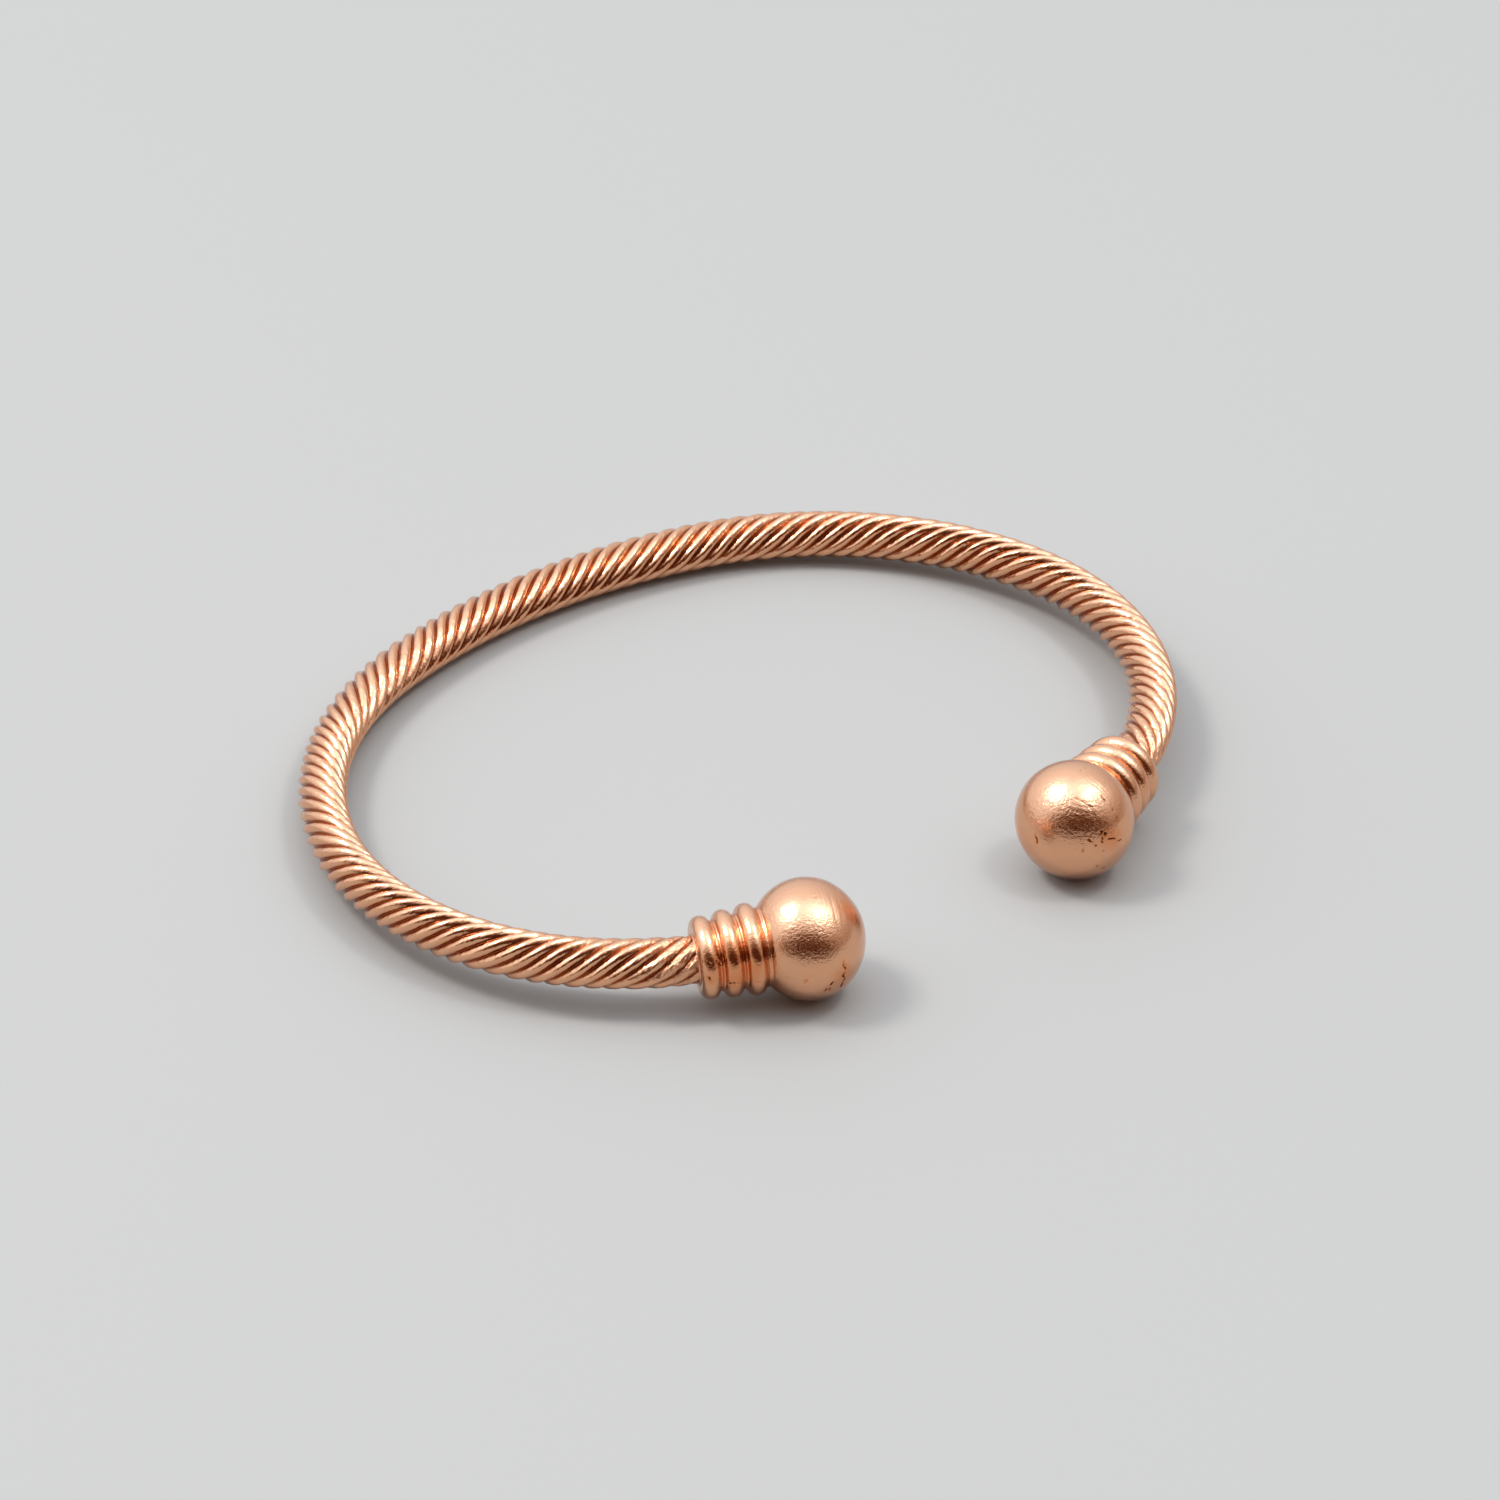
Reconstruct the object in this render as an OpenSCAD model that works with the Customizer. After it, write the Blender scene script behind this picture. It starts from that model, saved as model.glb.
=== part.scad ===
// Open torc cuff of copper: a twisted bar bent to an open oval, with a turned cap on each end.
// The cuff lies on its side and rests on its two balls and on the middle of the bar's back.
// +Z is up, the gap between the balls faces -Y, and the left cap is at -X.
// The origin is below the middle of the cuff, at the height of the surface that it lies on.

/* [Wrist opening] */
// Width across the inside of the oval
inner_w = 65; // [55:0.5:75]

/* [Oval, each half from the middle of the back] */
// Angle that the flat back turns through
back_turn = 17.5; // [12:0.1:24]
// Radius of the back, as a share of half the oval's width
back_share = 1.409; // [1.2:0.001:1.7]
// Angle that the side turns through
side_turn = 54.7; // [45:0.1:60]
// Radius of the side, as a share of half the oval's width
side_share = 0.833; // [0.75:0.001:0.95]
// Angle that the front turns through, up to the cap
front_turn = 81.5; // [70:0.1:84]
// Radius of the front, as a share of half the oval's width
front_share = 0.714; // [0.6:0.001:0.8]
// Angle that each cap leans further inwards than the bar's end
cap_lean = 2.3; // [0:0.1:5]
// Angle that each cap rises out of the plane of the oval
cap_rise = 2.3; // [0:0.1:4]

/* [Twisted bar] */
// Diameter over the crests of the strands
bar_d = 3.9; // [3:0.1:4.5]
// Number of strands round the bar
strands = 8; // [6:1:10]
// Length of bar in which a strand goes once round
twist_pitch = 12.3; // [10:0.1:20]
// Depth of the valleys between the strands
valley_depth = 0.42; // [0.1:0.01:0.5]
// Length over which the valleys fade out before each cap
fade_len = 3; // [1:0.5:6]

/* [Ball] */
// Diameter of the ball
ball_d = 9.4; // [8.6:0.1:11]
// Length of the ball along its axis, a little flatter than round
ball_len = 8.8; // [8.4:0.1:9.2]

/* [Rings] */
// Diameter over the ring at the mouth
first_ring_d = 6.4; // [6.2:0.01:7]
// Diameter over the ring next to the ball
last_ring_d = 7.06; // [6.5:0.01:7.4]
// Distance from one ring to the next
ring_pitch = 1.74; // [1.7:0.01:1.8]
// Radius of the rounding across a ring
ring_round = 0.78; // [0.7:0.01:0.84]
// Depth of the grooves below the crests of the rings
groove_depth = 0.6; // [0.3:0.01:0.64]
// Diameter over the thin bead between the last ring and the ball
bead_d = 6.14; // [6:0.01:6.3]
// Radius of the rounding across the bead
bead_round = 0.15; // [0.1:0.01:0.2]

/* [Socket] */
// Gap between the bar and the socket's wall
socket_gap = 0.05; // [0.03:0.01:0.1]
// Depth of the socket
socket_depth = 5; // [3:0.1:5]

/* [Hidden] */

bar_colour = "#c98a64";
cap_colour = "#d79a74";

bar_r = bar_d / 2;
ball_r = ball_d / 2;

// The three bends of one half of the oval, in order from the back
TURN = 0;
SHARE = 1;
bends = [
    [back_turn, back_share],
    [side_turn, side_share],
    [front_turn, front_share]
];

function total(v, i = 0) = i == len(v) ? 0 : v[i] + total(v, i + 1);

// Angle turned through before a bend starts
function turned(i) = i == 0 ? 0 : turned(i - 1) + bends[i - 1][TURN];
cap_turn = turned(len(bends)) + cap_lean;
cap_way = [cos(cap_turn), -sin(cap_turn)];

// Half the oval's width while each radius still equals its share
share_w = total([
    for (i = [0 : len(bends) - 1])
        bends[i][SHARE] * (sin(min(turned(i + 1), 90)) - sin(min(turned(i), 90)))
]);
half_w = inner_w / 2 + bar_r;

function bend_r(i) = bends[i][SHARE] * half_w / share_w;
function bend_len(i) = bend_r(i) * bends[i][TURN] * PI / 180;

// Length of bar before a bend starts, and half the length of bar that shows
function bend_start(i) = i == 0 ? 0 : bend_start(i - 1) + bend_len(i - 1);
half_len = bend_start(len(bends));

// Step outwards and backwards from one heading to another round an arc
function arc_step(r, from, to) = r * [sin(to) - sin(from), cos(to) - cos(from)];

// Point on the centre line where a bend starts, from the middle of the back
function bend_point(i) = i == 0
    ? [0, 0]
    : bend_point(i - 1) + arc_step(bend_r(i - 1), turned(i - 1), turned(i));
mouth = bend_point(len(bends));

function bend_at(s) = s < bend_start(1) ? 0 : s < bend_start(2) ? 1 : 2;

// Heading and point on the centre line, at a length s along one half of the bar
function heading(s, i) = turned(i) + (s - bend_start(i)) / bend_r(i) * 180 / PI;
function point(s, i) = bend_point(i) + arc_step(bend_r(i), turned(i), heading(s, i));

// Middle of the rounding of a ring on a cap, as radius and height over the cap's mouth
RING_COUNT = 3;
function ring_centre(i) = [
    first_ring_d / 2 + (last_ring_d - first_ring_d) / 2 * i / (RING_COUNT - 1) - ring_round,
    ring_round + ring_pitch * i
];

// Angle from a ring's crest down to the bottom of the groove beside it
to_groove = acos(1 - groove_depth / ring_round);

// The bead lies in the groove behind the last ring
last_groove_z = ring_centre(RING_COUNT - 1).y + ring_round * sin(to_groove);
bead_centre = [bead_d / 2 - bead_round, last_groove_z + bead_round];

// The ball's own outline starts just outside the bead, and that sets how far off its middle is
BEAD_TO_BALL = [1.4, 1.2];
ball_start = bead_centre + BEAD_TO_BALL * bead_round;
ball_start_a = -acos(ball_start.x / ball_r);
ball_off = ball_start.y - ball_len / 2 * sin(ball_start_a);

// Point on a cap's axis, at a length from its mouth, in the plan of the oval and with its height
function on_axis(s) =
    let (p = mouth + s * cos(cap_rise) * cap_way)
    [p.x, p.y, s * sin(cap_rise)];
ball_at = on_axis(ball_off);

// The balls stand higher than the bar, so the cuff lies tilted down towards its back
slope_len = norm([ball_at.y, ball_at.z]);
rest_tilt = asin((ball_r - bar_r) / slope_len) - atan(ball_at.z / -ball_at.y);
ball_reach_y = norm([ball_r * cap_way.x, ball_len / 2 * cap_way.y]);
depth = -ball_at.y * cos(rest_tilt) - ball_at.z * sin(rest_tilt);
ball_line_y = (ball_reach_y - bar_r - depth) / 2;

module at_rest() {
    translate([0, ball_line_y, ball_r])
    rotate([-rest_tilt, 0, 0])
    translate([0, -ball_at.y, -ball_at.z])
    children();
}

// Cross-section of the bar: four points for each strand, the first one in the valley.
// Where the valleys fade out, the bar is round and plain_r thick, a share of their depth down.
POINTS_PER_STRAND = 4;
round_points = strands * POINTS_PER_STRAND;
PLAIN_SHARE = 0.3;
plain_r = bar_r - PLAIN_SHARE * valley_depth;
function strand_r(j) = bar_r - valley_depth * (1 - abs(sin(180 * j / POINTS_PER_STRAND)));

// Share of the valleys' depth that is left at a length s from the middle of the back
function fade(s) = min(1, (half_len - abs(s)) / fade_len);

// One ring of points round the bar, side -1 for the right half and 1 for the left half
function bar_ring(at, side, out_way, s) = [
    for (j = [0 : round_points - 1])
        let (
            r = plain_r + (strand_r(j) - plain_r) * fade(s),
            a = 360 * (j / round_points + s / twist_pitch)
        )
        [side * (at.x + r * cos(a) * out_way.x), at.y + r * cos(a) * out_way.y, at.z + r * sin(a)]
];

// A ring on the bar between the caps, square to the centre line
function ring_on_bar(s) =
    let (side = s < 0 ? -1 : 1, i = bend_at(abs(s)), a = heading(abs(s), i), p = point(abs(s), i))
    bar_ring([-p.x, p.y, 0], side, [-sin(a), cos(a)], s);

// The last ring, a few gaps short of the bottom of the socket
TENON_GAPS = 4;
tenon_len = socket_depth - TENON_GAPS * socket_gap;
tenon_end = on_axis(tenon_len);
function ring_in_socket(side) =
    bar_ring([-tenon_end.x, tenon_end.y, tenon_end.z], side, [cap_way.y, cap_way.x], side * half_len);

RINGS = 160;
module twisted_bar() {
    rings = concat(
        [ring_in_socket(-1)],
        [for (i = [0 : RINGS]) ring_on_bar(half_len * (2 * i / RINGS - 1))],
        [ring_in_socket(1)]
    );
    last = len(rings) - 1;
    n = round_points;
    skin = [
        for (i = [0 : last - 1], j = [0 : n - 1])
            let (a = i * n + j, b = i * n + (j + 1) % n)
            each [[a, b, a + n], [b, b + n, a + n]]
    ];
    first_end = [for (j = [0 : n - 1]) n - 1 - j];
    last_end = [for (j = [0 : n - 1]) last * n + j];
    color(bar_colour)
    at_rest()
    polyhedron([for (ring = rings) each ring], concat(skin, [first_end, last_end]));
}

function arc(centre, r, from, to, steps) = [
    for (i = [0 : steps])
        let (a = from + (to - from) * i / steps)
        centre + r * [cos(a), sin(a)]
];

RING_STEPS = 12;
function ring_arc(i) =
    arc(ring_centre(i), ring_round, i == 0 ? -90 : -to_groove, to_groove, RING_STEPS);

BEAD_STEPS = 6;
BALL_STEPS = 32;
function ball_point(i) =
    let (a = ball_start_a + (90 - ball_start_a) * i / BALL_STEPS)
    [i == BALL_STEPS ? 0 : ball_r * cos(a), ball_off + ball_len / 2 * sin(a)];

// Outline of the cap from its mouth to the tip of the ball, as radius and height
cap_outline = concat(
    [[0, 0]],
    [for (i = [0 : RING_COUNT - 1]) each ring_arc(i)],
    arc(bead_centre, bead_round, -90, 45, BEAD_STEPS),
    [for (i = [0 : BALL_STEPS]) ball_point(i)]
);

CAP_SIDES = 96;
SOCKET_SIDES = 64;
module end_cap() {
    color(cap_colour)
    at_rest()
    translate([-mouth.x, mouth.y, 0])
    rotate([0, 90 - cap_rise, cap_turn - 180])
    difference() {
        rotate_extrude($fn = CAP_SIDES)
        polygon(cap_outline);
        translate([0, 0, -1])
        cylinder(h = socket_depth + 1, r = plain_r + socket_gap, $fn = SOCKET_SIDES);
    }
}

module left_end_cap() {
    end_cap();
}

module right_end_cap() {
    mirror([1, 0, 0])
    end_cap();
}

twisted_bar();
left_end_cap();
right_end_cap();
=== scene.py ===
"""Open torc cuff of copper: a twisted bar bent to an open oval, with a turned cap on each end.

The cuff lies on its side on a plain pale floor. Sizes are in metres and +Z is up.
The gap between the balls faces -Y, and the left cap is at -X.
"""

import math
from collections import namedtuple

import bpy
import numpy as np
from bpy.props import FloatProperty, FloatVectorProperty, IntProperty, PointerProperty
from bpy.types import Operator, Panel, PropertyGroup
from mathutils import Matrix, Vector, noise


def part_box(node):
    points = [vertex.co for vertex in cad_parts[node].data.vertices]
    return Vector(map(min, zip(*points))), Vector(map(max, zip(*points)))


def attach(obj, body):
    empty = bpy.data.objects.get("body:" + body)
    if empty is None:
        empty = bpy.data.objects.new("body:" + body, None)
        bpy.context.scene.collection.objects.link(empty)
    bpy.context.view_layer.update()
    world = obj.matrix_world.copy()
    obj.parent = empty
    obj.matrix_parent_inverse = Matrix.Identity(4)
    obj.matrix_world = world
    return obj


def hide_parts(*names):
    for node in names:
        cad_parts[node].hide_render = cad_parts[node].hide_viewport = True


bl_info = {
    "name": "Twisted copper cuff",
    "version": (1, 0, 0),
    "blender": (4, 5, 0),
    "location": "3D View > Sidebar > Cuff",
    "description": "Builds an open cuff of twisted copper bar with turned end caps, and its studio",
    "category": "Object",
}

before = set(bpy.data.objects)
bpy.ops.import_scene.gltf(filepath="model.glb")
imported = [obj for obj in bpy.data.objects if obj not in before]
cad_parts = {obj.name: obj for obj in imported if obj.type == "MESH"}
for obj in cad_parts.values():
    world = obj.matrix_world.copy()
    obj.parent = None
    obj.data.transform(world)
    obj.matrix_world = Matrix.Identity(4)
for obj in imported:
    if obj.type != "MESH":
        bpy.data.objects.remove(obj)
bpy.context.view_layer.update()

MM = 0.001
BAR_DIAMETER = 3.9 * MM


def box_size(node):
    """Width, depth and height of one solid of the frame."""
    low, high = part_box(node)
    return high - low


def linear(code):
    """Linear red, green, blue and alpha of an sRGB hex code."""
    parts = [int(code[i : i + 2], 16) / 255 for i in (0, 2, 4)]
    return [c / 12.92 if c <= 0.04045 else ((c + 0.055) / 1.055) ** 2.4 for c in parts] + [1]


def length(name, description, default):
    """A length in metres that the sidebar shows in the scene's unit."""
    return FloatProperty(name=name, description=description, default=default, unit="LENGTH", precision=5)


def colour(name, description, code):
    """A colour of the sidebar, given as an sRGB hex code."""
    return FloatVectorProperty(
        name=name, description=description, default=linear(code), size=4, subtype="COLOR", min=0, max=1
    )


class CuffSizes(PropertyGroup):
    """Sizes of the oval, the bar and the caps."""

    inner_width: length(
        "Inner width", "Width across the inside of the oval", box_size("twisted_bar").x - 2 * BAR_DIAMETER
    )
    cap_lean: FloatProperty(
        name="Cap lean",
        description="Angle that each cap leans further inwards than the bar's end",
        default=math.radians(2.3),
        subtype="ANGLE",
    )
    cap_rise: FloatProperty(
        name="Cap rise",
        description="Angle that each cap rises out of the plane of the oval",
        default=math.radians(2.3),
        subtype="ANGLE",
    )
    bar_diameter: length("Bar diameter", "Diameter over the crests of the strands", BAR_DIAMETER)
    strands: IntProperty(name="Strands", description="Number of strands round the bar", default=8, min=3)
    twist_pitch: length("Twist pitch", "Length in which a strand goes once round", 12.3 * MM)
    valley_depth: length("Valley depth", "Depth of the valleys between the strands", 0.42 * MM)
    fade_length: length("Fade length", "Length over which the valleys fade before a cap", 3 * MM)
    ball_diameter: length("Ball diameter", "Diameter of the ball", box_size("left_end_cap").z)
    ball_length: length("Ball length", "Length of the ball along its axis", 8.8 * MM)
    first_ring: length("First ring", "Diameter over the ring at the mouth", 6.4 * MM)
    last_ring: length("Last ring", "Diameter over the ring next to the ball", 7.06 * MM)
    ring_pitch: length("Ring pitch", "Distance from one ring to the next", 1.74 * MM)
    ring_rounding: length("Ring rounding", "Radius of the rounding across a ring", 0.78 * MM)
    groove_depth: length("Groove depth", "Depth of the grooves below the rings' crests", 0.6 * MM)
    bead: length("Bead", "Diameter over the thin bead between the last ring and the ball", 6.14 * MM)
    bead_rounding: length("Bead rounding", "Radius of the rounding across the bead", 0.15 * MM)
    socket_depth: length("Socket depth", "Depth of bar inside each cap", 4.8 * MM)


class CuffColours(PropertyGroup):
    """Colours of the copper and the floor."""

    copper: colour("Copper", "Copper of the bar and the caps", "e2a984")
    # Tarnish in the valleys, made darker than tarnish alone as painted shade between the strands
    valley: colour("Dull copper", "Redder copper in the valleys between the strands", "8f4420")
    # Heat flush, and also the painted orange reflection of the rings in the grooves and beside the bead
    flush: colour("Flushed copper", "Orange flush that soldering heat leaves on a cap", "d97f46")
    # Also the colour of two dark lines of painted reflection on the rings
    stain: colour("Stained copper", "Brown in the pits and cracks", "4a2614")
    floor: colour("Floor", "Plain pale floor", "a29d97")


# The three bends of one half of the oval, in order from the back
TURN, SHARE = 0, 1
BENDS = (
    (math.radians(17.5), 1.409),
    (math.radians(54.7), 0.833),
    (math.radians(81.5), 0.714),
)


def bend_radii(sizes):
    """Radius of each bend, so that the inside of the oval has its width."""
    shares, start = 0, 0
    for bend in BENDS:
        end = start + bend[TURN]
        shares += bend[SHARE] * (math.sin(min(end, math.pi / 2)) - math.sin(min(start, math.pi / 2)))
        start = end
    half_width = (sizes.inner_width + sizes.bar_diameter) / 2
    return [bend[SHARE] * half_width / shares for bend in BENDS]


def half_line(sizes, step=math.radians(0.4)):
    """Flat points of the centre line from the middle of the back to the right cap's mouth."""
    points, at, heading = [Vector((0, 0))], Vector((0, 0)), 0
    for bend, radius in zip(BENDS, bend_radii(sizes)):
        count = math.ceil(bend[TURN] / step)
        for i in range(1, count + 1):
            turned = heading + bend[TURN] * i / count
            across = math.sin(turned) - math.sin(heading)
            back = math.cos(turned) - math.cos(heading)
            points.append(at + radius * Vector((across, back)))
        at, heading = points[-1], heading + bend[TURN]
    return points


def cap_way(sizes):
    """Direction in which the right cap points, in the same plan as half_line and with its rise."""
    turned = sum(bend[TURN] for bend in BENDS) + sizes.cap_lean
    flat = Vector((math.cos(turned), -math.sin(turned), 0))
    return flat * math.cos(sizes.cap_rise) + Vector((0, 0, math.sin(sizes.cap_rise)))


RING_COUNT = 3


def ring_middles(sizes):
    """Middle of each ring's rounding, as radius and height over the cap's mouth."""
    growth = (sizes.last_ring - sizes.first_ring) / 2 / (RING_COUNT - 1)
    radius = sizes.first_ring / 2 - sizes.ring_rounding
    return [(radius + growth * i, sizes.ring_rounding + sizes.ring_pitch * i) for i in range(RING_COUNT)]


def groove_turn(sizes):
    """Angle from a ring's crest down to the groove beside it."""
    return math.acos(1 - sizes.groove_depth / sizes.ring_rounding)


def bead_middle(sizes):
    """Middle of the bead's rounding, as radius and height over the cap's mouth."""
    groove = ring_middles(sizes)[-1][1] + sizes.ring_rounding * math.sin(groove_turn(sizes))
    return sizes.bead / 2 - sizes.bead_rounding, groove + sizes.bead_rounding


# Step from the middle of the bead's rounding to the start of the ball, in radii of that rounding
BEAD_TO_BALL = (1.4, 1.2)


def ball_outline_start(sizes):
    """Angle at which the ball's outline starts, and height of the ball's middle over the cap's mouth."""
    radius, height = bead_middle(sizes)
    start = -math.acos((radius + BEAD_TO_BALL[0] * sizes.bead_rounding) / (sizes.ball_diameter / 2))
    return start, height + BEAD_TO_BALL[1] * sizes.bead_rounding - sizes.ball_length / 2 * math.sin(start)


def at_rest(sizes):
    """Place of the flat plan when the cuff lies on its two balls and on the middle of its back."""
    flat = cap_way(sizes).to_2d().normalized()
    ball = half_line(sizes)[-1].to_3d() + ball_outline_start(sizes)[1] * cap_way(sizes)
    bar_r, ball_r = sizes.bar_diameter / 2, sizes.ball_diameter / 2
    tilt = math.asin((ball_r - bar_r) / math.hypot(ball.y, ball.z)) - math.atan(ball.z / -ball.y)
    reach = math.hypot(ball_r * flat.x, sizes.ball_length / 2 * flat.y)
    depth = -ball.y * math.cos(tilt) - ball.z * math.sin(tilt)
    return (
        Matrix.Translation((0, (reach - bar_r - depth) / 2, ball_r))
        @ Matrix.Rotation(-tilt, 4, "X")
        @ Matrix.Translation((0, -ball.y, -ball.z))
    )


def add(tree, kind, links=None, out=0, **settings):
    """Adds a node with its settings and returns one of its outputs.

    Each input named in links gets its value, or another node's output.
    """
    node = tree.nodes.new(kind)
    for name, value in settings.items():
        setattr(node, name, value)
    for key, value in (links or {}).items():
        if isinstance(value, bpy.types.NodeSocket):
            tree.links.new(value, node.inputs[key])
        else:
            node.inputs[key].default_value = value
    return node.outputs[out]


RAIL_STEP = 0.16 * MM
POINTS_PER_STRAND = 9
# How much closer together the points of the cross-section lie in the valleys
CROWDING = 0.5
# How far the twist strays, in turns, and how often it does so in a metre of bar
TWIST_DRIFT, DRIFTS_PER_METRE = 0.12, 90.0
# Share of the valleys' depth that is left where the bar enters a cap
DEPTH_AT_CAP = 0.45
# Length inside a cap over which the rest of that depth goes
SOCKET_FADE = 0.4 * MM
# Share of the valleys' depth by which the plain bar is smaller than the crests
PLAIN_SHARE = 0.3
# Greatest depth of the flats on the bar, and the seed for them and for the twist
BAR_UNEVENNESS, BAR_SEED = 0.05 * MM, 4.0


def twisted_rail(tree, given):
    """Centre line as a curve that turns with the twist.

    Its points keep their length along the bar, their distance from the nearer cap and their place.
    """
    rail = add(tree, "GeometryNodeMeshToCurve", {"Mesh": given["Centre Line"]})
    rail = add(tree, "GeometryNodeResampleCurve", {"Curve": rail, "Length": RAIL_STEP}, mode="LENGTH")
    along = add(tree, "GeometryNodeSplineParameter", out="Length")
    whole = add(tree, "GeometryNodeSplineLength", out="Length")
    left = add(tree, "ShaderNodeMath", {0: whole, 1: along}, operation="SUBTRACT")
    nearer = add(tree, "ShaderNodeMath", {0: along, 1: left}, operation="MINIMUM")
    from_cap = add(tree, "ShaderNodeMath", {0: nearer, 1: given["Socket Depth"]}, operation="SUBTRACT")
    centre = add(tree, "GeometryNodeInputPosition")
    for name, value, kind in (
        ("along", along, "FLOAT"),
        ("from_cap", from_cap, "FLOAT"),
        ("centre", centre, "FLOAT_VECTOR"),
    ):
        rail = add(
            tree,
            "GeometryNodeStoreNamedAttribute",
            {"Geometry": rail, "Name": name, "Value": value},
            data_type=kind,
        )

    # The hand that twisted the bar wasn't quite even
    spot = add(
        tree, "ShaderNodeMath", {0: along, 1: DRIFTS_PER_METRE, 2: given["Seed"]}, operation="MULTIPLY_ADD"
    )
    drift = add(
        tree, "ShaderNodeTexNoise", {"W": spot, "Scale": 1.0, "Detail": 1.0}, noise_dimensions="1D"
    )
    drift = add(tree, "ShaderNodeMath", {0: drift, 1: 0.5}, operation="SUBTRACT")
    half = add(tree, "ShaderNodeMath", {0: whole, 1: 0.5}, operation="MULTIPLY")
    from_back = add(tree, "ShaderNodeMath", {0: half, 1: along}, operation="SUBTRACT")
    turns = add(tree, "ShaderNodeMath", {0: from_back, 1: given["Twist Pitch"]}, operation="DIVIDE")
    turns = add(tree, "ShaderNodeMath", {0: drift, 1: TWIST_DRIFT, 2: turns}, operation="MULTIPLY_ADD")
    twist = add(tree, "ShaderNodeMath", {0: turns, 1: math.tau}, operation="MULTIPLY")
    rail = add(tree, "GeometryNodeSetCurveNormal", {"Curve": rail}, mode="Z_UP")
    return add(tree, "GeometryNodeSetCurveTilt", {"Curve": rail, "Tilt": twist})


def crowded_ring(tree, given):
    """Round cross-section with its points crowded in the valleys.

    Gives the curve, the angle that its points keep, and their place on it.
    """
    points = add(
        tree, "ShaderNodeMath", {0: given["Strands"], 1: float(POINTS_PER_STRAND)}, operation="MULTIPLY"
    )
    ring = add(
        tree, "GeometryNodeCurvePrimitiveCircle", {"Resolution": points, "Radius": given["Bar Radius"]}
    )
    round_way = add(tree, "GeometryNodeSplineParameter", out="Factor")
    even = add(tree, "ShaderNodeMath", {0: round_way, 1: math.tau}, operation="MULTIPLY")
    lobes = add(tree, "ShaderNodeMath", {0: even, 1: given["Strands"]}, operation="MULTIPLY")
    wave = add(tree, "ShaderNodeMath", {0: lobes}, operation="SINE")
    push = add(tree, "ShaderNodeMath", {0: -CROWDING, 1: given["Strands"]}, operation="DIVIDE")
    angle = add(tree, "ShaderNodeMath", {0: wave, 1: push, 2: even}, operation="MULTIPLY_ADD")
    ring = add(tree, "GeometryNodeStoreNamedAttribute", {"Geometry": ring, "Name": "angle", "Value": angle})
    angle = add(tree, "GeometryNodeInputNamedAttribute", {"Name": "angle"})
    across = add(tree, "ShaderNodeMath", {0: angle}, operation="COSINE")
    up = add(tree, "ShaderNodeMath", {0: angle}, operation="SINE")
    spoke = add(tree, "ShaderNodeCombineXYZ", {"X": across, "Y": up})
    place = add(tree, "ShaderNodeVectorMath", {0: spoke, "Scale": given["Bar Radius"]}, operation="SCALE")
    ring = add(tree, "GeometryNodeSetPosition", {"Geometry": ring, "Position": place})
    return ring, angle, place


def strand_lift(tree, given, crest, place):
    """How far the skin stands out past the bar's radius, which is inwards in a valley."""
    from_cap = add(tree, "GeometryNodeInputNamedAttribute", {"Name": "from_cap"})
    fade = add(
        tree,
        "ShaderNodeMapRange",
        {"Value": from_cap, "From Max": given["Fade Length"], "To Min": DEPTH_AT_CAP},
    )
    inside = add(
        tree, "ShaderNodeMapRange", {"Value": from_cap, "From Min": -SOCKET_FADE, "From Max": 0.0}
    )
    fade = add(tree, "ShaderNodeMath", {0: fade, 1: inside}, operation="MULTIPLY")
    over_plain = add(tree, "ShaderNodeMath", {0: crest, 1: 1 - PLAIN_SHARE}, operation="SUBTRACT")
    over_plain = add(tree, "ShaderNodeMath", {0: over_plain, 1: fade}, operation="MULTIPLY")
    over_plain = add(tree, "ShaderNodeMath", {0: over_plain, 1: PLAIN_SHARE}, operation="SUBTRACT")
    lift = add(tree, "ShaderNodeMath", {0: over_plain, 1: given["Valley Depth"]}, operation="MULTIPLY")

    # Low lumps and flats, about 2 mm long along the strands and 0.8 mm across them
    stretched = add(tree, "ShaderNodeVectorMath", {0: place, 1: (0.5, 1.3, 1.3)}, operation="MULTIPLY")
    lumps = add(
        tree,
        "ShaderNodeTexNoise",
        {"Vector": stretched, "W": given["Seed"], "Scale": 1.0, "Detail": 3.0, "Roughness": 0.6},
        noise_dimensions="4D",
    )
    lumps = add(tree, "ShaderNodeMath", {0: lumps, 1: 1.0}, operation="SUBTRACT")
    return add(
        tree, "ShaderNodeMath", {0: lumps, 1: given["Unevenness"], 2: lift}, operation="MULTIPLY_ADD"
    )


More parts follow.
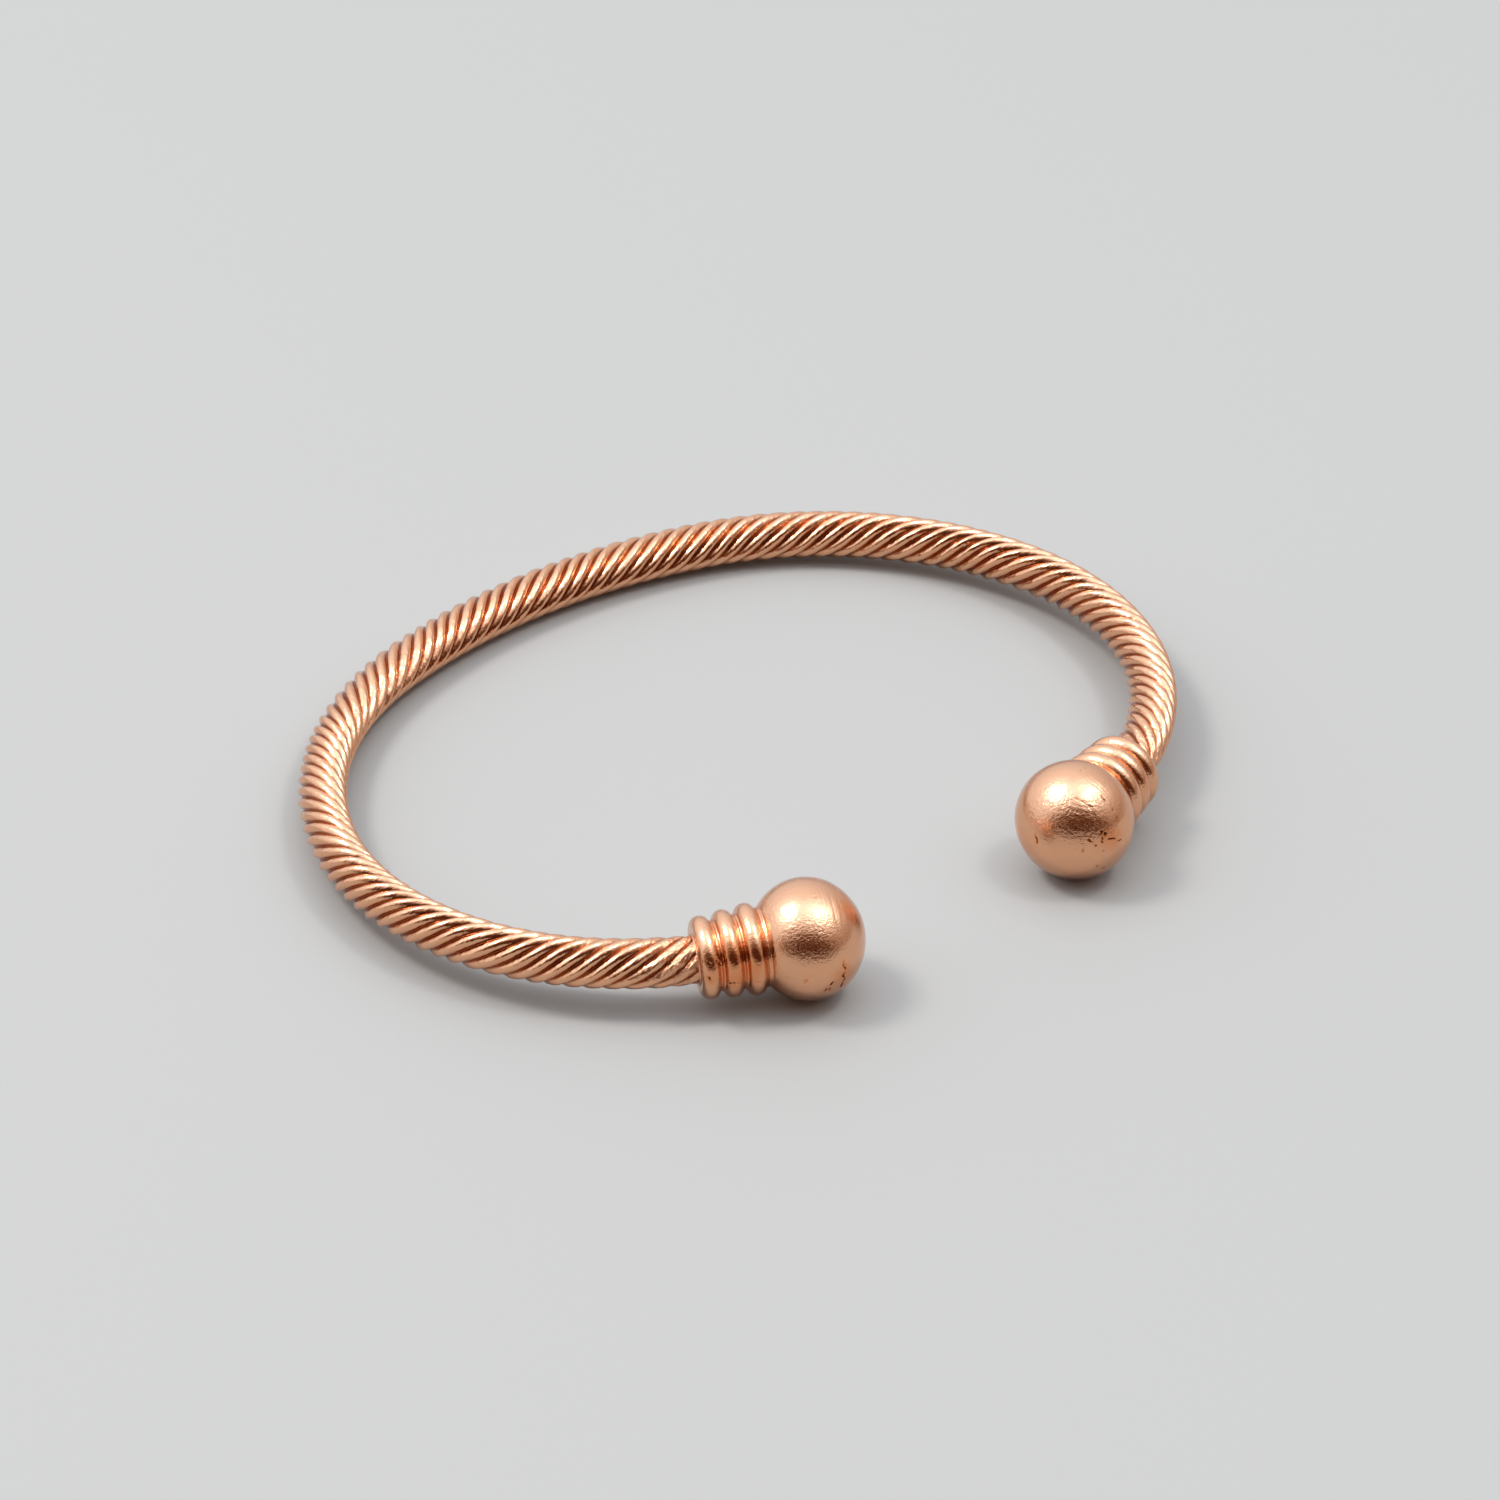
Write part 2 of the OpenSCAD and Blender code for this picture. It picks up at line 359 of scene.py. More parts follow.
def twisted_bar_tree():
    """Node tree that sweeps a lobed circle along the centre line and turns it as it goes."""
    tree = bpy.data.node_groups.new("Twisted bar", "GeometryNodeTree")
    inputs = (
        ("Centre Line", "NodeSocketGeometry"),
        ("Bar Radius", "NodeSocketFloat"),
        ("Strands", "NodeSocketInt"),
        ("Twist Pitch", "NodeSocketFloat"),
        ("Valley Depth", "NodeSocketFloat"),
        ("Fade Length", "NodeSocketFloat"),
        ("Socket Depth", "NodeSocketFloat"),
        ("Unevenness", "NodeSocketFloat"),
        ("Seed", "NodeSocketFloat"),
        ("Material", "NodeSocketMaterial"),
    )
    for name, kind in inputs:
        tree.interface.new_socket(name, in_out="INPUT", socket_type=kind)
    tree.interface.new_socket("Bar", in_out="OUTPUT", socket_type="NodeSocketGeometry")
    given = tree.nodes.new("NodeGroupInput").outputs

    rail = twisted_rail(tree, given)
    ring, angle, ring_point = crowded_ring(tree, given)
    skin = add(tree, "GeometryNodeCurveToMesh", {"Curve": rail, "Profile Curve": ring, "Fill Caps": True})

    # Place on the bar in millimetres: length along it, and the spoke that follows the twist
    along = add(tree, "GeometryNodeInputNamedAttribute", {"Name": "along"})
    along_mm = add(tree, "ShaderNodeMath", {0: along, 1: 1 / MM}, operation="MULTIPLY")
    spoke_mm = add(tree, "ShaderNodeVectorMath", {0: ring_point, "Scale": 1 / MM}, operation="SCALE")
    parts = add(tree, "ShaderNodeSeparateXYZ", {0: spoke_mm}).node.outputs
    place = add(tree, "ShaderNodeCombineXYZ", {"X": along_mm, "Y": parts["X"], "Z": parts["Y"]})
    skin = add(
        tree,
        "GeometryNodeStoreNamedAttribute",
        {"Geometry": skin, "Name": "on_bar", "Value": place},
        data_type="FLOAT_VECTOR",
    )

    # Height over the valley, 0 in it and 1 on the crest
    half_lobes = add(tree, "ShaderNodeMath", {0: given["Strands"], 1: 0.5}, operation="MULTIPLY")
    half_lobes = add(tree, "ShaderNodeMath", {0: angle, 1: half_lobes}, operation="MULTIPLY")
    crest = add(tree, "ShaderNodeMath", {0: half_lobes}, operation="SINE")
    crest = add(tree, "ShaderNodeMath", {0: crest}, operation="ABSOLUTE")
    skin = add(tree, "GeometryNodeStoreNamedAttribute", {"Geometry": skin, "Name": "crest", "Value": crest})

    lift = strand_lift(tree, given, crest, place)
    radius = add(tree, "ShaderNodeMath", {0: given["Bar Radius"], 1: lift}, operation="ADD")
    centre = add(tree, "GeometryNodeInputNamedAttribute", {"Name": "centre"}, data_type="FLOAT_VECTOR")
    at = add(tree, "GeometryNodeInputPosition")
    out_way = add(tree, "ShaderNodeVectorMath", {0: at, 1: centre}, operation="SUBTRACT")
    out_way = add(tree, "ShaderNodeVectorMath", {0: out_way}, operation="NORMALIZE")
    out_step = add(tree, "ShaderNodeVectorMath", {0: out_way, "Scale": radius}, operation="SCALE")
    moved = add(tree, "ShaderNodeVectorMath", {0: centre, 1: out_step}, operation="ADD")
    skin = add(tree, "GeometryNodeSetPosition", {"Geometry": skin, "Position": moved})
    for name in ("angle", "centre", "along"):
        skin = add(tree, "GeometryNodeRemoveAttribute", {"Geometry": skin, "Name": name})
    skin = add(tree, "GeometryNodeSetShadeSmooth", {"Geometry": skin})
    skin = add(tree, "GeometryNodeRealizeInstances", {"Geometry": skin})
    skin = add(tree, "GeometryNodeSetMaterial", {"Geometry": skin, "Material": given["Material"]})
    tree.links.new(skin, tree.nodes.new("NodeGroupOutput").inputs["Bar"])
    return tree


def new_object(name, data):
    """Links an object for a mesh, a lamp or a camera into the scene."""
    made = bpy.data.objects.new(name, data)
    bpy.context.scene.collection.objects.link(made)
    return made


def by_nodes(made, tree, values):
    """Runs a node tree on an object, and leaves the result as its plain mesh."""
    modifier = made.modifiers.new(tree.name, "NODES")
    modifier.node_group = tree
    for item in tree.interface.items_tree:
        if item.in_out == "INPUT" and item.name in values:
            modifier[item.identifier] = values[item.name]
    graph = bpy.context.evaluated_depsgraph_get()
    found = made.evaluated_get(graph)
    mesh = bpy.data.meshes.new_from_object(found, preserve_all_data_layers=True, depsgraph=graph)
    mesh.name = made.name
    made.modifiers.remove(modifier)
    made.data = mesh


def polished_bar_copper(colours):
    """Pure copper bar, twisted and then tumbled to a polish.

    The crests are bright and nearly mirror-like, with a torn edge to every highlight, and the valleys
    keep a rougher, redder tarnish that wear can't reach, darkened further by painted shade of the
    strands on each other.
    """
    material = bpy.data.materials.new("Tumbled copper bar")
    material.use_nodes = True
    tree = material.node_tree
    tree.nodes.clear()
    place = add(tree, "ShaderNodeAttribute", out="Vector", attribute_name="on_bar")
    crest = add(tree, "ShaderNodeAttribute", out="Fac", attribute_name="crest")
    from_cap = add(tree, "ShaderNodeAttribute", out="Fac", attribute_name="from_cap")

    # Rubbing marks run along the strands, about 0.25 mm wide and 2 mm long
    stretched = add(tree, "ShaderNodeMapping", {"Vector": place, "Scale": (0.5, 4.0, 4.0)})
    rubbing = add(
        tree, "ShaderNodeTexNoise", {"Vector": stretched, "Scale": 1.0, "Detail": 4.0, "Roughness": 0.6}
    )
    # Patches of tarnish, about 3 mm across
    patches = add(tree, "ShaderNodeTexNoise", {"Vector": place, "Scale": 0.35, "Detail": 3.0})

    # Valleys take the dull colour: tarnish, and painted shade over the lower part of their depth
    wear_and_valley_shade = add(tree, "ShaderNodeMath", {0: rubbing, 1: 0.3, 2: crest}, operation="MULTIPLY_ADD")
    wear_and_valley_shade = add(tree, "ShaderNodeMath", {0: patches, 1: 0.3, 2: wear_and_valley_shade}, operation="MULTIPLY_ADD")
    bright = add(
        tree,
        "ShaderNodeMapRange",
        {"Value": wear_and_valley_shade, "From Min": 0.45, "From Max": 0.85},
        interpolation_type="SMOOTHSTEP",
    )
    base = add(
        tree, "ShaderNodeMix", {0: bright, 6: colours.valley, 7: colours.copper}, out=2, data_type="RGBA"
    )
    roughness = add(tree, "ShaderNodeMapRange", {"Value": bright, "To Min": 0.2, "To Max": 0.05})
    roughness = add(tree, "ShaderNodeMath", {0: rubbing, 1: 0.05, 2: roughness}, operation="MULTIPLY_ADD")

    # Dents of the tumbling, about 0.6 mm across, and a finer grain of 0.15 mm, both deeper by a cap
    near_cap = add(
        tree,
        "ShaderNodeMapRange",
        {"Value": from_cap, "From Min": 1.0 * MM, "From Max": 5.0 * MM, "To Min": 1.0, "To Max": 0.27},
        interpolation_type="SMOOTHSTEP",
    )
    dents = add(tree, "ShaderNodeTexNoise", {"Vector": place, "Scale": 1.7, "Detail": 2.0})
    grain = add(
        tree, "ShaderNodeTexNoise", {"Vector": place, "Scale": 6.5, "Detail": 3.0, "Roughness": 0.7}
    )
    normal = add(tree, "ShaderNodeBump", {"Height": dents, "Strength": near_cap, "Distance": 0.3 * MM})
    normal = add(
        tree,
        "ShaderNodeBump",
        {"Height": grain, "Strength": near_cap, "Distance": 0.055 * MM, "Normal": normal},
    )
    shader = add(
        tree,
        "ShaderNodeBsdfPrincipled",
        {"Base Color": base, "Metallic": 1.0, "Roughness": roughness, "Normal": normal},
    )
    tree.links.new(shader, tree.nodes.new("ShaderNodeOutputMaterial").inputs["Surface"])
    return material


def cap_relief(tree, place, blotches, grain, combed):
    """Normal of a cap's skin: scratches of the lathe, crinkles and grain."""
    travelled = add(tree, "ShaderNodeAttribute", out="Fac", attribute_name="travelled")
    creased = add(tree, "ShaderNodeAttribute", out="Fac", attribute_name="creased")

    # Scratches, about 0.3 mm apart and several millimetres long, which come and go in patches
    across = add(tree, "ShaderNodeMath", {0: travelled, 1: 13.0}, operation="MULTIPLY")
    across = add(tree, "ShaderNodeCombineXYZ", {"Z": across})
    round_axis = add(tree, "ShaderNodeMapping", {"Vector": place, "Scale": (0.3, 0.3, 0.0)})
    round_axis = add(tree, "ShaderNodeVectorMath", {0: round_axis, 1: across}, operation="ADD")
    scratches = add(
        tree, "ShaderNodeTexNoise", {"Vector": round_axis, "Scale": 0.25, "Detail": 4.0, "Roughness": 0.65}
    )
    scratched = add(
        tree,
        "ShaderNodeMapRange",
        {"Value": blotches, "From Min": 0.45, "From Max": 0.6, "To Min": 0.02, "To Max": 0.15},
    )
    scratched = add(tree, "ShaderNodeMath", {0: scratched, 1: combed}, operation="MAXIMUM")
    normal = add(
        tree, "ShaderNodeBump", {"Height": scratches, "Strength": scratched, "Distance": 0.07 * MM}
    )

    # Crinkles, about 0.25 mm across, and deeper where the skin is creased
    crinkles = add(
        tree, "ShaderNodeTexNoise", {"Vector": place, "Scale": 4.0, "Detail": 3.0, "Roughness": 0.6}
    )
    crinkled = add(
        tree,
        "ShaderNodeMapRange",
        {"Value": blotches, "From Min": 0.4, "From Max": 0.6, "To Min": 0.25, "To Max": 0.4},
    )
    crinkled = add(tree, "ShaderNodeMath", {0: creased, 1: 0.25, 2: crinkled}, operation="MULTIPLY_ADD")
    normal = add(
        tree,
        "ShaderNodeBump",
        {"Height": crinkles, "Strength": crinkled, "Distance": 0.1 * MM, "Normal": normal},
    )
    return add(
        tree,
        "ShaderNodeBump",
        {"Height": grain, "Strength": 1.0, "Distance": 0.004 * MM, "Normal": normal},
    )


def satin_cap_copper(colours):
    """Copper cap, turned on a lathe and tumbled with the bar.

    Fine scratches run round its axis and fray each highlight along them, and the crinkled skin tears
    the edges of what it mirrors. Heat has left an orange flush, and the grooves and the ball beside the
    bead carry a painted orange reflection of the rings. Dirt has turned the cracks brown, and two dark
    lines on the rings are a painted reflection.
    """
    material = bpy.data.materials.new("Satin turned copper")
    material.use_nodes = True
    tree = material.node_tree
    tree.nodes.clear()
    place = add(tree, "ShaderNodeAttribute", out="Vector", attribute_name="on_cap")
    stain = add(tree, "ShaderNodeAttribute", out="Fac", attribute_name="stain")
    flush = add(tree, "ShaderNodeAttribute", out="Fac", attribute_name="flush")
    combed = add(tree, "ShaderNodeAttribute", out="Fac", attribute_name="combed")
    lengthwise = add(tree, "ShaderNodeAttribute", out="Vector", attribute_name="lengthwise")

    # Blotches, about 2 mm across, and a grain of 0.1 mm
    blotches = add(
        tree, "ShaderNodeTexNoise", {"Vector": place, "Scale": 0.45, "Detail": 4.0, "Roughness": 0.6}
    )
    grain = add(
        tree, "ShaderNodeTexNoise", {"Vector": place, "Scale": 9.0, "Detail": 2.0, "Roughness": 0.6}
    )
    # Orange of the heat flush, and the painted orange reflection of the rings in the grooves and beside the
    # bead
    flush_and_reflection_share = add(tree, "ShaderNodeMath", {0: blotches, 1: 0.7, 2: flush}, operation="MULTIPLY_ADD")
    flush_and_reflection_share = add(
        tree,
        "ShaderNodeMapRange",
        {"Value": flush_and_reflection_share, "From Min": 0.4, "From Max": 1.15},
        interpolation_type="SMOOTHSTEP",
    )
    base = add(
        tree, "ShaderNodeMix", {0: flush_and_reflection_share, 6: colours.copper, 7: colours.flush}, out=2, data_type="RGBA"
    )
    # The grain tears the edge of a stain and of a painted reflection line
    torn = add(tree, "ShaderNodeMath", {0: grain, 1: 1.6, 2: 0.2}, operation="MULTIPLY_ADD")
    torn = add(tree, "ShaderNodeMath", {0: torn, 1: stain}, operation="MULTIPLY")
    stain_and_reflection_share = add(
        tree,
        "ShaderNodeMapRange",
        {"Value": torn, "From Min": 0.1, "From Max": 0.6},
        interpolation_type="SMOOTHSTEP",
    )
    base = add(tree, "ShaderNodeMix", {0: stain_and_reflection_share, 6: base, 7: colours.stain}, out=2, data_type="RGBA")
    roughness = add(
        tree,
        "ShaderNodeMapRange",
        {"Value": blotches, "From Min": 0.35, "From Max": 0.65, "To Min": 0.08, "To Max": 0.15},
    )
    roughness = add(tree, "ShaderNodeMath", {0: stain_and_reflection_share, 1: 0.3, 2: roughness}, operation="MULTIPLY_ADD")
    roughness = add(tree, "ShaderNodeMath", {0: combed, 1: 0.1, 2: roughness}, operation="MULTIPLY_ADD")
    shader = add(
        tree,
        "ShaderNodeBsdfPrincipled",
        {
            "Base Color": base,
            "Metallic": 1.0,
            "Roughness": roughness,
            "Anisotropic": 0.2,
            "Tangent": lengthwise,
            "Normal": cap_relief(tree, place, blotches, grain, combed),
        },
    )
    tree.links.new(shader, tree.nodes.new("ShaderNodeOutputMaterial").inputs["Surface"])
    return material


class CUFF_OT_twisted_bar(Operator):
    """Builds the twisted bar along the oval, with its ends inside the caps"""

    bl_idname = "cuff.twisted_bar"
    bl_label = "Twisted bar"

    def execute(self, context):
        sizes = context.scene.cuff_sizes
        rest = at_rest(sizes)
        half = [p.to_3d() for p in half_line(sizes)]
        half.append(half[-1] + sizes.socket_depth * cap_way(sizes))
        other_half = [Vector((-p.x, p.y, p.z)) for p in half]
        points = [rest @ p for p in half[:0:-1] + other_half]
        mesh = bpy.data.meshes.new("centre_line")
        mesh.from_pydata(points, [(i, i + 1) for i in range(len(points) - 1)], [])
        bar = new_object("copper_bar", mesh)
        by_nodes(
            bar,
            twisted_bar_tree(),
            {
                "Bar Radius": sizes.bar_diameter / 2,
                "Strands": sizes.strands,
                "Twist Pitch": sizes.twist_pitch,
                "Valley Depth": sizes.valley_depth,
                "Fade Length": sizes.fade_length,
                "Socket Depth": sizes.socket_depth,
                "Unevenness": BAR_UNEVENNESS,
                "Seed": BAR_SEED,
                "Material": polished_bar_copper(context.scene.cuff_colours),
            },
        )
        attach(bar, "root")
        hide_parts("twisted_bar")
        return {"FINISHED"}


def arc(centre, radius, start, end, count):
    """Points of an arc between two angles in radians, as (radius, height) pairs."""
    turns = np.linspace(start, end, count)
    return np.stack([centre[0] + radius * np.cos(turns), centre[1] + radius * np.sin(turns)], 1)


# Radius of the rounded lip round the bar, and how far the mouth's face is dished beside it
LIP, MOUTH_DISH = 0.09 * MM, 0.03 * MM
# How far the closed socket bites into the crests of the bar, and how much deeper than the bar it is
SOCKET_GRIP, SOCKET_SPARE = 0.12 * MM, 0.2 * MM
# How far the floor of a groove bulges between two rings
GROOVE_BULGE = 0.03 * MM
# Points along each stretch of a cap's outline
SOCKET_POINTS, LIP_POINTS, MOUTH_POINTS = 6, 9, 5
RING_POINTS, GROOVE_POINTS, BEAD_POINTS, BALL_POINTS = 28, 7, 10, 150


def socket_outline(sizes):
    """Socket of a cap as (radius, height) pairs, from the middle of its bottom to its lip."""
    bore = sizes.bar_diameter / 2 - SOCKET_GRIP
    deep = sizes.socket_depth + SOCKET_SPARE
    return np.concatenate(
        [
            [(0, deep), (bore / 2, deep)],
            np.linspace((bore, deep), (bore, 0), SOCKET_POINTS),
            arc((bore + LIP, 0), LIP, math.pi, 2 * math.pi, LIP_POINTS)[1:],
        ]
    )


def outer_outline(sizes):
    """Outside of a cap as (radius, height) pairs, from beside its lip to the tip of the ball."""
    rounding, down = sizes.ring_rounding, groove_turn(sizes)
    rings = ring_middles(sizes)
    lip_end = sizes.bar_diameter / 2 - SOCKET_GRIP + 2 * LIP
    parts = [np.linspace((lip_end, MOUTH_DISH), (rings[0][0], 0), MOUTH_POINTS)[1:-1]]
    for i, middle in enumerate(rings):
        parts.append(arc(middle, rounding, -math.pi / 2 if i == 0 else -down, down, RING_POINTS))
        if i < RING_COUNT - 1:
            start, end = parts[-1][-1], arc(rings[i + 1], rounding, -down, down, 2)[0]
            floor = np.linspace(start, end, GROOVE_POINTS)[1:-1]
            floor[:, 0] += GROOVE_BULGE
            parts.append(floor)
    parts.append(arc(bead_middle(sizes), sizes.bead_rounding, -math.pi / 2, math.pi / 4, BEAD_POINTS))
    start, offset = ball_outline_start(sizes)
    turns = np.linspace(start, math.pi / 2, BALL_POINTS)
    radii = sizes.ball_diameter / 2 * np.cos(turns)
    radii[-1] = 0
    parts.append(np.stack([radii, offset + sizes.ball_length / 2 * np.sin(turns)], 1))
    return np.concatenate(parts)


def lathe(outline, turns):
    """Closed skin of an outline turned round its axis.

    Gives its points, the ways outwards and lengthwise there, its faces and the lengths travelled.
    """
    ring, count = outline[1:-1], len(turns)
    step = np.diff(outline, axis=0)
    travelled = np.concatenate([[0], np.cumsum(np.linalg.norm(step, axis=1))])
    out = np.stack([outline[2:, 1] - outline[:-2, 1], outline[:-2, 0] - outline[2:, 0]], 1)
    out /= np.linalg.norm(out, axis=1)[:, None]
    spokes = np.stack([np.cos(turns), np.sin(turns)], 1)

    def turned(flat, at_start, at_end):
        round_axis = np.concatenate([flat[:, None, :1] * spokes, np.repeat(flat[:, None, 1:], count, 1)], 2)
        return np.concatenate([round_axis.reshape(-1, 3), [at_start, at_end]])

    points = turned(ring, (0, 0, outline[0, 1]), (0, 0, outline[-1, 1]))
    ways = turned(out, (0, 0, -1), (0, 0, 1))
    lengthwise = turned(np.stack([-out[:, 1], out[:, 0]], 1), (1, 0, 0), (1, 0, 0))
    lengths = np.concatenate([np.repeat(travelled[1:-1], count), travelled[[0, -1]]])
    first, last = len(points) - 2, len(points) - 1
    faces = []
    for j in range(count):
        k = (j + 1) % count
        faces.append((first, k, j))
        for i in range(len(ring) - 1):
            a, b = i * count, (i + 1) * count
            faces.append((a + j, a + k, b + k, b + j))
        end = (len(ring) - 1) * count
        faces.append((end + j, end + k, last))
    return points, ways, lengthwise, faces, lengths


Mark = namedtuple("Mark", "half_width depth stain line")
Patch = namedtuple("Patch", "kind radius strength at")

# Cracks, pits and lumps, and two dark lines of painted reflection: half width and depth in mm, stain
# from 0 to 1, and a line of points, each a height over the cap's mouth in mm and a turn round its axis in
# degrees. A lump has a negative depth.
MARKS = {
    "left_end_cap": (
        Mark(0.07, 0.07, 0.95, ((10.48, 175), (10.55, 180), (10.63, 186), (10.46, 190), (10.34, 193))),
        Mark(0.08, 0.07, 0.95, ((10.34, 193), (10.49, 200), (10.44, 206), (10.30, 210))),
        Mark(0.05, 0.04, 0.6, ((10.63, 186), (10.67, 192), (10.56, 195), (10.49, 200))),
        Mark(0.08, 0.07, 0.95, ((9.36, 198), (9.54, 196))),
        Mark(0.06, 0.05, 0.8, ((8.93, 206), (9.11, 202), (9.27, 203), (9.32, 207))),
        Mark(0.09, 0.05, 0.8, ((7.50, 187),)),
        Mark(0.05, 0.03, 0.4, ((7.28, 181), (7.67, 183), (8.08, 181))),
        Mark(0.07, 0.03, 0.4, ((6.67, 197),)),
        Mark(0.07, 0.03, 0.3, ((6.12, 188),)),
        Mark(0.05, 0.02, 0.35, ((9.33, 96), (9.31, 101), (9.26, 106))),
        Mark(0.05, 0.02, 0.3, ((9.09, 80),)),
        Mark(0.05, 0.02, 0.25, ((7.85, 97), (7.85, 101))),
        Mark(0.15, 0.09, 0.95, ((0.48, 176),)),
        # Two crosswise dark lines on the second and third rings are a painted reflection, cut in as shallow
        # marks
        Mark(0.07, 0.04, 0.6, ((1.88, 192), (2.20, 189), (2.57, 189))),
        Mark(0.07, 0.04, 0.6, ((3.67, 192), (3.93, 191), (4.21, 190))),
        Mark(0.06, 0.03, 0.5, ((0.15, 149), (0.48, 149), (0.80, 151))),
        Mark(0.16, -0.20, 0.0, ((1.30, 150), (1.42, 153))),
        Mark(0.09, -0.12, 0.0, ((1.55, 160), (1.62, 163))),
        Mark(0.06, 0.05, 0.8, ((1.18, 147), (1.16, 152), (1.28, 157))),
        Mark(0.06, 0.05, 0.7, ((1.50, 150), (1.60, 156))),
    ),
    "right_end_cap": (
        Mark(0.07, 0.08, 0.9, ((12.85, 159), (12.89, 168), (12.91, 186))),
        Mark(0.06, 0.05, 0.9, ((12.02, 20), (11.96, 16), (11.85, 11), (11.67, 5))),
        Mark(0.07, 0.05, 0.9, ((11.15, 23), (11.19, 18), (11.24, 14), (11.22, 9))),
        Mark(0.12, 0.07, 1.0, ((11.01, 15),)),
        Mark(0.11, 0.08, 1.0, ((11.25, 9),)),
        Mark(0.06, 0.05, 0.9, ((10.87, 8), (10.56, 7), (10.15, 3), (9.75, 3))),
        Mark(0.08, 0.08, 1.0, ((9.75, 24),)),
        Mark(0.05, 0.03, 0.5, ((9.41, 24), (9.14, 25), (8.77, 25))),
        Mark(0.055, 0.03, 0.5, ((9.76, 53), (9.77, 48), (9.77, 44), (9.77, 35), (9.75, 25))),
        Mark(0.07, 0.04, 0.6, ((9.77, 44),)),
        Mark(0.07, 0.04, 0.7, ((9.77, 35),)),
        Mark(0.055, 0.03, 0.3, ((11.12, 70), (11.05, 57), (11.03, 43))),
        Mark(0.08, 0.04, 0.7, ((12.29, -1),)),
        Mark(0.08, 0.04, 0.5, ((11.18, -4),)),
        Mark(0.08, 0.04, 0.6, ((11.22, -29),)),
        Mark(0.10, 0.05, 0.8, ((10.65, -32),)),
        Mark(0.07, 0.03, 0.4, ((12.23, -70),)),
        Mark(0.07, 0.03, 0.3, ((9.94, 86),)),
        Mark(0.05, 0.02, 0.3, ((8.94, 84), (8.54, 83), (8.09, 81))),
    ),
}

# Patches of skin: a flush that soldering heat leaves, combed by the abrasive that finished the cap, or
# finely creased like foil. Radius in mm, strength from 0 to 1, and a place as height and turn.
PATCHES = {
    "left_end_cap": (
        Patch("flush", 1.6, 0.35, (11.8, 122)),
        Patch("flush", 3.4, 0.5, (2.6, 165)),
        Patch("flush", 1.6, 0.35, (10.4, 192)),
        Patch("flush", 0.8, 0.5, (1.3, 155)),
        Patch("flush", 1.4, 0.35, (5.6, 150)),
        Patch("combed", 2.5, 1.0, (10.4, 118)),
        Patch("combed", 1.4, 0.5, (8.6, 165)),
        Patch("creased", 2.8, 1.0, (8.4, 147)),
    ),
    "right_end_cap": (
        Patch("flush", 1.6, 0.45, (10.6, 8)),
        Patch("flush", 1.8, 0.3, (12.2, 190)),
        Patch("flush", 1.4, 0.35, (2.6, 20)),
        Patch("combed", 1.8, 0.8, (9.6, 52)),
        Patch("creased", 2.6, 1.0, (12.0, 50)),
    ),
}

# Low lumps and flats of a cap: half their greatest depth, and their width
LUMPS, LUMP_WIDTH = 0.02 * MM, 2.5 * MM
# How ragged the edge of a mark is, as a share of its half width, and how wide each tear is
RAGGED, RAGGED_WIDTH = 0.8, 0.3 * MM
# How far the line of a mark wanders, and how wide each bend is
WANDER, WANDER_WIDTH = 0.16 * MM, 0.5 * MM
# How far apart the unevenness is read for the two caps, and for a wander along X, Y and Z
CAPS_APART = 20 * MM
AXES_APART = (30 * MM, 50 * MM, 70 * MM)
# How far a stain bleeds orange round a mark, in half widths, and how strongly
BLEED, BLEED_STRENGTH = 3.5, 0.6
# Strength of the painted orange reflection of the rings in the grooves, and how far past the bead
RING_REFLECTION_PAINT, RING_REFLECTION_REACH = 0.3, 1.2 * MM

# Which way each cap lies from the middle, along X
SIDES = {"left_end_cap": -1, "right_end_cap": 1}
# Turn round each cap's axis that the camera sees best, where the points lie closest together
FACING = {"left_end_cap": math.radians(147), "right_end_cap": math.radians(51)}
CAP_SEGMENTS = 320
CAP_CROWDING = 0.4


def on_skin(outline, at):
    """Point of a cap's skin in metres, from a height in mm and a turn in degrees."""
    height, turn = at[0] * MM, math.radians(at[1])
    radius = np.interp(height, outline[:, 1], outline[:, 0])
    return np.array([radius * math.cos(turn), radius * math.sin(turn), height])


def from_line(points, line):
    """Distance of each point from a line of straight pieces, or from a single spot."""
    nearest = np.full(len(points), np.inf)
    for start, end in zip(line, line[1:] or line):
        along = end - start
        # A single spot has no length to divide by
        share = np.clip((points - start) @ along / max(along @ along, 1e-12), 0, 1)
        nearest = np.minimum(nearest, np.linalg.norm(points - start - np.outer(share, along), axis=1))
    return nearest


def soft_edge(distance, radius):
    """1 within a quarter of the radius, falling smoothly to 0 at one and a quarter radii."""
    share = np.clip(1.25 - distance / radius, 0, 1)
    return share * share * (3 - 2 * share)


def unevenness(points, width):
    """Low lumps and flats of a width, from -1 to 1."""
    return np.array([noise.noise(Vector(p) / width) for p in points])


def wandered(points, width):
    """Points shifted by up to WANDER along each axis, unevenly over a width."""
    return points + WANDER * np.stack([unevenness(points + apart, width) for apart in AXES_APART], 1)


def painted_ring_reflection(sizes, points):
    """Painted reflection of the rings: how deep each point lies in the grooves, and a fade past the bead.
    """
    height, radius = points[:, 2], np.hypot(points[:, 0], points[:, 1])
    rings = ring_middles(sizes)
    crest = np.interp(height, (rings[0][1], rings[-1][1]), (sizes.first_ring / 2, sizes.last_ring / 2))
    deep = np.clip((crest - radius) / sizes.groove_depth, 0, 1)
    bead = bead_middle(sizes)[1]
    on_collar = np.interp(height, (0, rings[0][1], bead, bead + RING_REFLECTION_REACH), (0, 1, 1, 0))
    past_bead = np.interp(height, (bead, bead + RING_REFLECTION_REACH), (1, 0)) * (height > bead)
    return np.maximum(deep * on_collar, past_bead)


